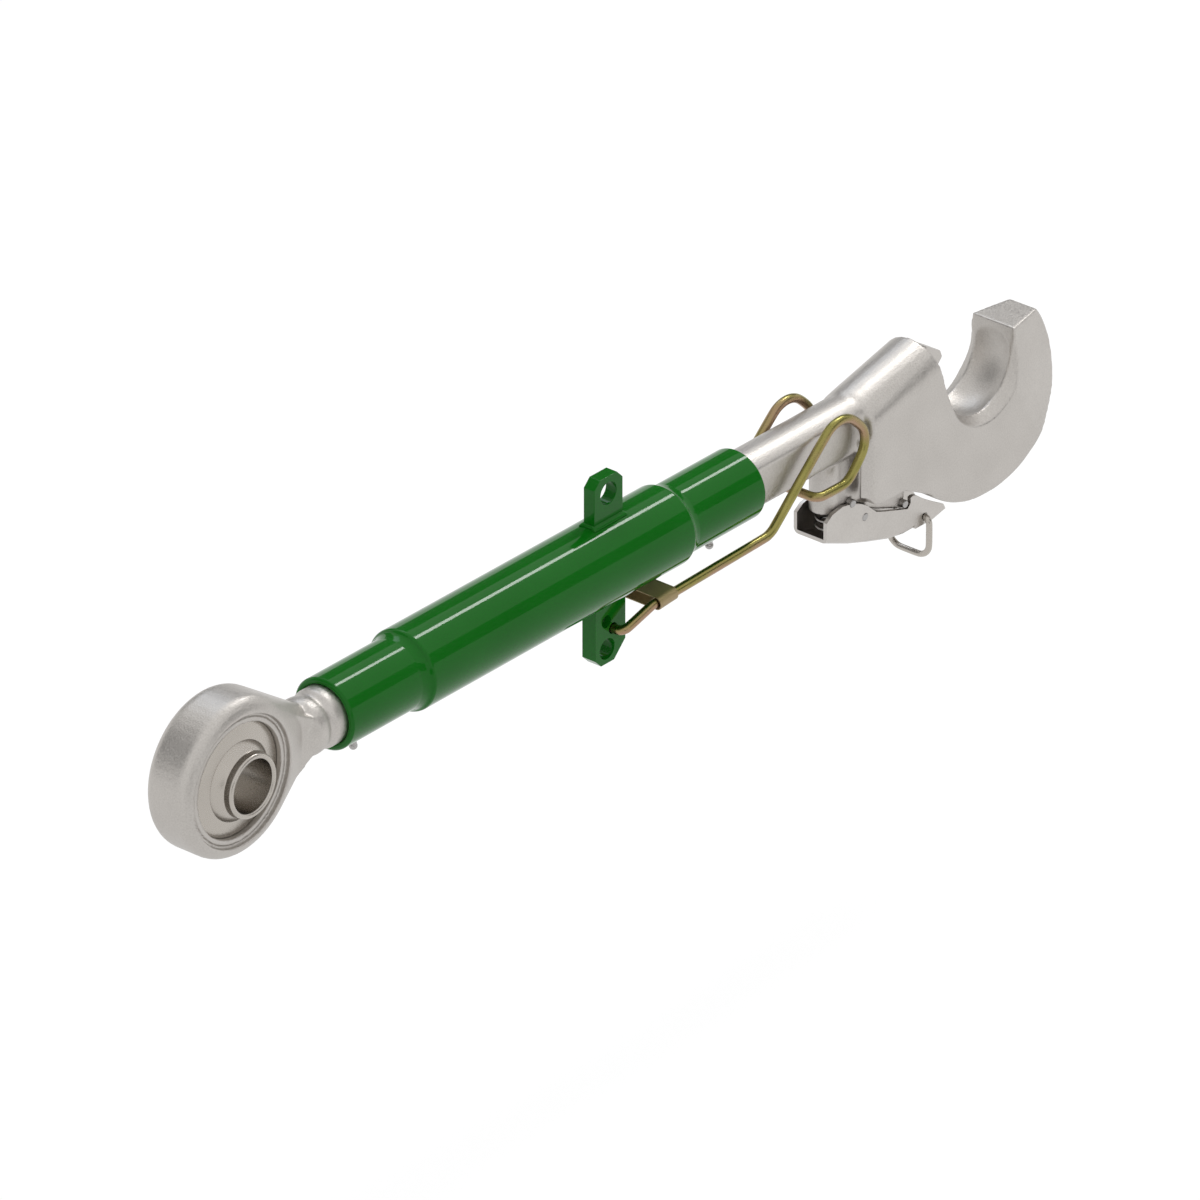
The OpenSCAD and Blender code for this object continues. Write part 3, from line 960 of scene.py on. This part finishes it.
@dataclass(frozen=True)
class RimSwell:
    """Fuller outer rim of the hook, round the centre of its seat.

    Attributes:
        centre: centre of the hook's seat.
        start_x: where the first step starts along X.
        step_x: how much further along each later step starts.
        radii: distance from the centre past which each step acts.
        gain: what one step adds at its own radius.
    """

    centre: Vector
    start_x: float
    step_x: float
    radii: tuple[float, ...]
    gain: float

    def apply(self, piece: bpy.types.Object) -> None:
        """Swells the rim in steps.

        Args:
            piece: the hook.
        """
        for step, radius in enumerate(self.radii):
            start = self.start_x + step * self.step_x
            select_where(
                piece,
                lambda co, radius=radius, start=start: co.x > start
                and math.hypot(co.x - self.centre.x, co.z - self.centre.z) > radius,
            )
            share = 1.0 + self.gain / radius
            bpy.ops.transform.resize(value=(share, 1.0, share), center_override=self.centre)
            bpy.ops.object.mode_set(mode="OBJECT")


@dataclass(frozen=True)
class Forging:
    """Hammer-soft copy of a forged node, cut off where its thread starts.

    Attributes:
        node: the forged node.
        cut_x: where it is cut off along X.
        keep_right: whether the side towards the hook is kept.
        voxel: size of the grid that it is remeshed on.
        passes: smoothing passes over all of it.
        blend_zone: stretch along X that is smoothed further, if there is one.
        blend_passes: smoothing passes over that stretch.
    """

    node: str
    cut_x: float
    keep_right: bool
    voxel: float
    passes: int
    blend_zone: Optional[tuple[float, float]] = None
    blend_passes: int = 24

    def build(
        self, name: str, added: Sequence[bpy.types.Object] = (), rim: Optional[RimSwell] = None
    ) -> bpy.types.Object:
        """Models the forging.

        Args:
            name: the piece's name.
            added: pieces that are forged into it.
            rim: swell of its outer rim.

        Returns:
            The piece.
        """
        piece = copy_of(self.node, name)
        away = Vector((-1.0 if self.keep_right else 1.0, 0.0, 0.0))
        cut(piece, Vector((self.cut_x, 0.0, 0.0)), away)
        pick(piece)
        for other in added:
            other.select_set(True)
        if added:
            bpy.ops.object.join()
        finish_with(piece, "REMESH", mode="VOXEL", voxel_size=self.voxel, adaptivity=0.0)
        if rim is not None:
            rim.apply(piece)
        finish_with(piece, "SMOOTH", factor=SOFTENING, iterations=self.passes)
        if self.blend_zone is not None:
            select_where(piece, lambda co: self.blend_zone[0] < co.x < self.blend_zone[1])
            bpy.ops.mesh.vertices_smooth(factor=SOFTENING, repeat=self.blend_passes)
            bpy.ops.object.mode_set(mode="OBJECT")
        pick(piece)
        bpy.ops.object.shade_smooth()
        return piece


@dataclass
class SubAssembly:
    """Pieces that ride on one body of the link.

    Attributes:
        body: the record's body that the pieces ride on.
        palette: every finish of the link.
        made: names of the finished pieces.
    """

    body: str
    palette: Palette
    made: list[str] = field(default_factory=list)

    def fit(
        self, piece: bpy.types.Object, material: bpy.types.Material, slot: Slot, *nodes: str
    ) -> None:
        """Gives a piece its finish and its place in the link.

        Args:
            piece: the finished piece.
            material: its finish.
            slot: the record's slot of that finish; not used.
            nodes: construction nodes that it stands for.
        """
        piece.data.materials.clear()
        piece.data.materials.append(material)
        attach(piece, self.body)
        if nodes:
            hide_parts(*nodes)
        self.made.append(piece.name)
        log.info("%s rides on %s", piece.name, self.body)


@dataclass
class Barrel(SubAssembly):
    """Green screw barrel with its lugs, welds and grease nipples.

    Attributes:
        lug_edge: width of the lugs' eased edges.
        sleeve_edge: width of the tube's and the sleeves' eased edges.
        bead_voxel: size of the grid that the weld beads are remeshed on.
        bead_passes: smoothing passes over the beads.
        nipple_edge: width of the grease nipples' eased edges.
    """

    lug_edge: float = 0.9 * MM
    sleeve_edge: float = 0.5 * MM
    bead_voxel: float = 0.45 * MM
    bead_passes: int = 30
    nipple_edge: float = 0.25 * MM

    def build(self) -> None:
        """Models and dresses every piece of the barrel."""
        green = self.palette.enamel
        edges = {
            "barrel_tube": self.sleeve_edge, "eye_sleeve": self.sleeve_edge,
            "hook_sleeve": self.sleeve_edge, "upper_lug": self.lug_edge,
            "lower_lug": self.lug_edge,
        }
        for node, edge in edges.items():
            self.fit(eased(node, f"painted_{node}", edge), green, Slot.ENAMEL, node)
        self.fit(self._beads(), green, Slot.ENAMEL, "lug_welds")
        for node in ("eye_grease_nipple", "hook_grease_nipple"):
            piece = eased(node, f"plated_{node}", self.nipple_edge)
            self.fit(piece, self.palette.pins, Slot.PLATED, node)

    def _beads(self) -> bpy.types.Object:
        """Rounded weld beads at the feet of the lugs.

        Returns:
            The beads, as one piece.
        """
        beads = copy_of("lug_welds", "painted_lug_welds")
        finish_with(beads, "REMESH", mode="VOXEL", voxel_size=self.bead_voxel, adaptivity=0.0)
        finish_with(beads, "SMOOTH", factor=SOFTENING, iterations=self.bead_passes)
        pick(beads)
        bpy.ops.object.shade_smooth()
        return beads


@dataclass
class EyeEnd(SubAssembly):
    """Forged eye with its bearing ring and its threaded rod.

    Attributes:
        voxel: size of the grid that the eye is remeshed on.
        passes: smoothing passes over the eye.
        web: web between the eye and its collar.
        blend_zone: stretch along X where the web flows into the collar.
        blend_passes: smoothing passes over that stretch.
        thread_start: where the thread starts along X.
        rod_overlap: how far the eye's forging reaches into the threaded rod.
        crest: radius of the thread's crest.
        race_edge: width of the bearing ring's eased edges.
        rings: rings on the eye's faces.
    """

    voxel: float = 0.75 * MM
    passes: int = 3
    web: NeckWeb = NeckWeb(
        start=47.0 * MM, end=70.0 * MM, half_width=13.0 * MM,
        start_half_height=20.8 * MM, end_half_height=9.4 * MM, corner=5.0 * MM,
    )
    blend_zone: tuple[float, float] = (57.0 * MM, 72.5 * MM)
    blend_passes: int = 10
    thread_start: float = 92.0 * MM
    rod_overlap: float = 2.0 * MM
    crest: float = 18.0 * MM
    race_edge: float = 0.4 * MM
    rings: tuple[FaceRing, ...] = (
        FaceRing(inner=34.65 * MM, outer=41.0 * MM, low=8.5 * MM, high=13.7 * MM),
        FaceRing(inner=34.65 * MM, outer=37.6 * MM, low=8.5 * MM, high=15.0 * MM),
    )

    def build(self) -> None:
        """Models and dresses the eye, its ring and its rod."""
        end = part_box("eye_forging")[1].x
        rings = [
            ring.build(f"face_ring_{number}_{side}", side)
            for number, ring in enumerate(self.rings)
            for side in (-1, 1)
        ]
        forging = Forging(
            "eye_forging", self.thread_start + self.rod_overlap, keep_right=False,
            voxel=self.voxel, passes=self.passes,
            blend_zone=self.blend_zone, blend_passes=self.blend_passes,
        )
        added = [*rings, self.web.build("neck_web")]
        eye = forging.build("forged_eye", added)
        self.fit(eye, self.palette.forged, Slot.FORGED, "eye_forging")
        thread = Thread(self.thread_start, end, self.crest, right_hand=True)
        for piece in thread.build("eye_rod"):
            self.fit(piece, self.palette.thread, Slot.FORGED)
        ring = eased("eye_race", "bearing_ring", self.race_edge)
        self.fit(ring, self.palette.turned, Slot.BRIGHT, "eye_race")


@dataclass
class EyeBall(SubAssembly):
    """Swivel ball in the eye.

    Attributes:
        edge: width of the ball's eased edges.
    """

    edge: float = 0.5 * MM

    def build(self) -> None:
        """Models and dresses the ball."""
        ball = eased("swivel_ball", "bored_ball", self.edge)
        self.fit(ball, self.palette.turned, Slot.BRIGHT, "swivel_ball")


@dataclass
class HookEnd(SubAssembly):
    """Forged hook with its pins, its spring and its threaded rod.

    Attributes:
        voxel: size of the grid that the hook is remeshed on.
        passes: smoothing passes over the hook.
        thread_end: where the thread ends along X.
        rod_overlap: how far the hook's forging reaches into the threaded rod.
        crest: radius of the thread's crest.
        flat: distance from the rod's axis to each of its two flats.
        pin_edge: width of the pins' eased edges.
        blend_zone: stretch along X where the shoulder flows into the side face.
        ramp: slope of the shoulder.
        rim: swell of the outer rim.
        spring_swell: what the spring's wire gains in radius.
    """

    voxel: float = 0.91 * MM
    passes: int = 6
    thread_end: float = 444.0 * MM
    rod_overlap: float = 2.0 * MM
    crest: float = 18.0 * MM
    flat: float = 13.5 * MM
    pin_edge: float = 0.3 * MM
    blend_zone: tuple[float, float] = (541.0 * MM, 556.0 * MM)
    ramp: ShoulderRamp = ShoulderRamp(
        start=541.5 * MM, end=549.3 * MM, inner=14.2 * MM, outer=21.0 * MM,
        bottom=-44.5 * MM, top=-5.0 * MM,
    )
    rim: RimSwell = RimSwell(
        centre=Vector((653.3 * MM, 0.0, -1.5 * MM)), start_x=656.0 * MM, step_x=2.5 * MM,
        radii=tuple(radius * MM for radius in range(36, 48)), gain=0.05 * MM,
    )
    spring_swell: float = 0.02 * MM

    def build(self) -> None:
        """Models and dresses the hook and what is fixed to it."""
        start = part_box("hook_forging")[0].x
        ramps = [self.ramp.build(f"shoulder_ramp_{side}", side) for side in (-1, 1)]
        forging = Forging(
            "hook_forging", self.thread_end - self.rod_overlap, keep_right=True,
            voxel=self.voxel, passes=self.passes, blend_zone=self.blend_zone,
        )
        hook = forging.build("forged_hook", ramps, self.rim)
        self.fit(hook, self.palette.forged, Slot.FORGED, "hook_forging")
        thread = Thread(start, self.thread_end, self.crest, right_hand=False, flat=self.flat)
        for piece in thread.build("hook_rod"):
            self.fit(piece, self.palette.thread, Slot.FORGED)
        for node in ("fulcrum_pin", "lever_stop_pin"):
            piece = eased(node, f"plated_{node}", self.pin_edge)
            self.fit(piece, self.palette.pins, Slot.PLATED, node)
        spring = round_wire(
            "latch_spring", "coiled_latch_spring", levels=1, swell=self.spring_swell
        )
        self.fit(spring, self.palette.pins, Slot.PLATED, "latch_spring")


@dataclass
class Lever(SubAssembly):
    """Pressed latch lever with the pin that drives the pawl.

    Attributes:
        sheet_edge: width of the lever's eased edges.
        pin_edge: width of its pin's eased edges.
    """

    sheet_edge: float = 0.45 * MM
    pin_edge: float = 0.3 * MM

    def build(self) -> None:
        """Models and dresses the lever and its pin."""
        lever = eased("latch_lever", "pressed_lever", self.sheet_edge)
        self.fit(lever, self.palette.pressed, Slot.FORGED, "latch_lever")
        pin = eased("pawl_pin", "plated_pawl_pin", self.pin_edge)
        self.fit(pin, self.palette.pins, Slot.PLATED, "pawl_pin")


@dataclass
class Pawl(SubAssembly):
    """Pawl that closes the hook.

    Attributes:
        edge: width of the pawl's eased edges.
    """

    edge: float = 0.8 * MM

    def build(self) -> None:
        """Models and dresses the pawl."""
        pawl = eased("latch_pawl", "milled_pawl", self.edge)
        self.fit(pawl, self.palette.pressed, Slot.BRIGHT, "latch_pawl")


@dataclass
class Bail(SubAssembly):
    """Wire handle of the lever.

    Attributes:
        swell: what its wire gains in radius.
    """

    swell: float = 0.05 * MM

    def build(self) -> None:
        """Models and dresses the bail."""
        bail = round_wire("pull_bail", "bent_bail", levels=2, swell=self.swell)
        self.fit(bail, self.palette.turned, Slot.BRIGHT, "pull_bail")


@dataclass
class LockWire(SubAssembly):
    """Wire that keeps the barrel from turning, with its clip.

    Attributes:
        swell: what its wire gains in radius.
        clip_edge: width of the clip's eased edges.
    """

    swell: float = 0.0
    clip_edge: float = 0.3 * MM

    def build(self) -> None:
        """Models and dresses the wire and the clip."""
        wire = round_wire("lock_wire", "bent_lock_wire", levels=2, swell=self.swell)
        self.fit(wire, self.palette.wire, Slot.YELLOW, "lock_wire")
        clip = eased("wire_clip", "folded_clip", self.clip_edge)
        self.fit(clip, self.palette.clip, Slot.YELLOW, "wire_clip")


@dataclass(frozen=True)
class PhotoCamera:
    """Camera at the photograph's viewing angle.

    Attributes:
        place: where it stands.
        aim: the point that it looks at.
        lens: focal length, in millimetres.
        sensor: width of its sensor, in millimetres.
        near: nearest distance that it sees.
        far: furthest distance that it sees.
    """

    place: Vector = Vector((-4.8511, -4.3648, 3.6185))
    aim: Vector = Vector((0.1701, -0.1316, 0.0840))
    lens: float = 404.8
    sensor: float = 36.0
    near: float = 0.1
    far: float = 200.0

    def build(self) -> None:
        """Adds the camera and makes it the scene's own."""
        data = bpy.data.cameras.new("photo_camera")
        data.lens = self.lens
        data.sensor_width = self.sensor
        data.clip_start = self.near
        data.clip_end = self.far
        camera = bpy.data.objects.new("photo_camera", data)
        bpy.context.scene.collection.objects.link(camera)
        camera.location = self.place
        camera.rotation_mode = "QUATERNION"
        camera.rotation_quaternion = (self.aim - self.place).to_track_quat("-Z", "Y")
        bpy.context.scene.camera = camera


@dataclass(frozen=True)
class Softbox:
    """Area lamp.

    Attributes:
        name: the lamp's name.
        place: where it hangs.
        width: width of its panel.
        height: height of its panel.
        watts: its power.
        aim: the point that it shines at.
        tint: colour of its light.
    """

    name: str
    place: Vector
    width: float
    height: float
    watts: float
    aim: Vector = LINK_MIDDLE
    tint: Colour = (1.0, 1.0, 1.0)

    def build(self) -> None:
        """Adds the lamp."""
        data = bpy.data.lights.new(self.name, "AREA")
        data.shape = "RECTANGLE"
        data.size = self.width
        data.size_y = self.height
        data.energy = self.watts
        data.color = self.tint
        lamp = bpy.data.objects.new(self.name, data)
        bpy.context.scene.collection.objects.link(lamp)
        lamp.location = self.place
        lamp.rotation_mode = "QUATERNION"
        lamp.rotation_quaternion = (self.aim - self.place).to_track_quat("-Z", "Y")


def matt(recipe: Recipe, grey: float) -> Signal:
    """Matt shader of one grey.

    Args:
        recipe: the node tree that it goes into.
        grey: how much light it gives back, from 0 to 1.

    Returns:
        The shader.
    """
    return recipe.node("ShaderNodeBsdfDiffuse", inputs={"Color": (grey, grey, grey, 1.0)})


@dataclass(frozen=True)
class GreyCard:
    """Grey card that metal and enamel mirror, out of the camera's sight.

    Attributes:
        name: the card's name.
        place: where its middle is.
        width: its width.
        height: its height.
        grey: how much light it gives back, from 0 to 1.
        aim: the point that it faces.
    """

    name: str
    place: Vector
    width: float
    height: float
    grey: float
    aim: Vector = LINK_MIDDLE

    def build(self) -> None:
        """Adds the card."""
        turn = (self.aim - self.place).to_track_quat("Z", "Y").to_euler()
        bpy.ops.mesh.primitive_plane_add(size=1.0, location=self.place, rotation=turn)
        card = bpy.context.object
        card.name = self.name
        card.scale = (self.width, self.height, 1.0)
        settle(card)
        card.visible_camera = False
        card.visible_shadow = False
        made = bpy.data.materials.new(self.name)
        recipe = Recipe(made)
        recipe.end("ShaderNodeOutputMaterial", matt(recipe, self.grey))
        card.data.materials.append(made)


@dataclass(frozen=True)
class Studio:
    """White room with a pale floor, a long lamp over the link and grey cards round it.

    Attributes:
        floor_drop: distance from the link's lowest point down to the floor.
        floor_size: side of the floor.
        floor_grey: how much light the floor gives back to the link.
        veil_grey: how much light it gives back where it is seen, so that a shadow shows.
        floor_glow: its own brightness where it is seen.
        sky_strength: brightness of the sky as a lamp.
        lamps: the lamps.
        cards: the grey cards.
    """

    floor_drop: float = 190.0 * MM
    floor_size: float = 80.0
    floor_grey: float = 0.8
    veil_grey: float = 0.16
    floor_glow: float = 0.90
    sky_strength: float = 0.72
    lamps: tuple[Softbox, ...] = (
        Softbox(
            "strip", Vector((1.65, 0.215, 1.50)), width=0.9, height=0.21, watts=9.8,
            aim=Vector((1.65, 0.0, 0.0)),
        ),
        Softbox(
            "window", Vector((2.1, 2.6, 3.4)), width=1.3, height=1.3, watts=10.0,
            tint=(0.70, 0.82, 1.0),
        ),
    )
    cards: tuple[GreyCard, ...] = (
        GreyCard("back_card", Vector((4.4, 3.6, 2.5)), width=9.0, height=2.6, grey=0.27),
        GreyCard("side_card", Vector((3.4, -4.6, 2.2)), width=6.0, height=2.2, grey=0.40),
        GreyCard("left_card", Vector((-2.6, 3.1, 2.6)), width=4.4, height=4.4, grey=0.62),
        GreyCard("front_card", Vector((-1.3, -2.6, -0.05)), width=1.6, height=0.7, grey=0.30),
    )

    def build(self) -> None:
        """Adds the floor, the sky, the lamps and the cards."""
        bpy.context.scene.view_settings.view_transform = "Standard"
        self._floor()
        self._sky()
        for item in (*self.lamps, *self.cards):
            item.build()

    @staticmethod
    def _seen(recipe: Recipe) -> Signal:
        """Finds where the camera sees a surface, itself or in metal or glass.

        Args:
            recipe: the node tree of the surface.

        Returns:
            1 on what is seen, and 0 on what only lights the link.
        """
        camera = recipe.node("ShaderNodeLightPath", output="Is Camera Ray")
        mirrored = camera.sibling("Is Glossy Ray")
        return camera.larger(mirrored).larger(camera.sibling("Is Transmission Ray"))

    def _floor(self) -> None:
        """Pale floor, low enough for the lock wire to fold down over it."""
        low = CAD_BOX[0].z - self.floor_drop
        bpy.ops.mesh.primitive_plane_add(size=self.floor_size, location=(0.0, 0.0, low))
        floor = bpy.context.object
        floor.name = "studio_floor"
        made = bpy.data.materials.new("studio_floor")
        recipe = Recipe(made)
        bounce = matt(recipe, self.floor_grey)
        veil = matt(recipe, self.veil_grey)
        glow = recipe.node("ShaderNodeEmission", inputs={"Strength": self.floor_glow})
        white = recipe.node("ShaderNodeAddShader", inputs={0: veil, 1: glow})
        inputs = {0: self._seen(recipe), 1: bounce, 2: white}
        shader = recipe.node("ShaderNodeMixShader", inputs=inputs)
        recipe.end("ShaderNodeOutputMaterial", shader)
        floor.data.materials.append(made)

    def _sky(self) -> None:
        """Sky that is white where it is seen, itself or in metal, and softer as a lamp."""
        world = bpy.data.worlds.new("studio_sky")
        bpy.context.scene.world = world
        recipe = Recipe(world)
        soft, shown = (
            recipe.node("ShaderNodeBackground", inputs={"Color": WHITE, "Strength": strength})
            for strength in (self.sky_strength, 1.0)
        )
        inputs = {0: self._seen(recipe), 1: soft, 2: shown}
        shader = recipe.node("ShaderNodeMixShader", inputs=inputs)
        recipe.end("ShaderNodeOutputWorld", shader)


def main() -> None:
    """Builds the camera, the studio and every sub-assembly of the link."""
    logging.basicConfig(level=logging.INFO, format="%(name)s: %(message)s")
    bpy.ops.object.select_all(action="DESELECT")
    PhotoCamera().build()
    Studio().build()
    palette = Palette()
    parts = [
        Barrel("barrel", palette), EyeEnd("eye_end", palette), EyeBall("eye_ball", palette),
        HookEnd("hook_end", palette), Lever("latch_lever", palette), Pawl("latch_pawl", palette),
        Bail("pull_bail", palette), LockWire("lock_wire", palette),
    ]
    for part in parts:
        part.build()
    log.info("%d pieces", sum(len(part.made) for part in parts))


if __name__ == "__main__":
    main()
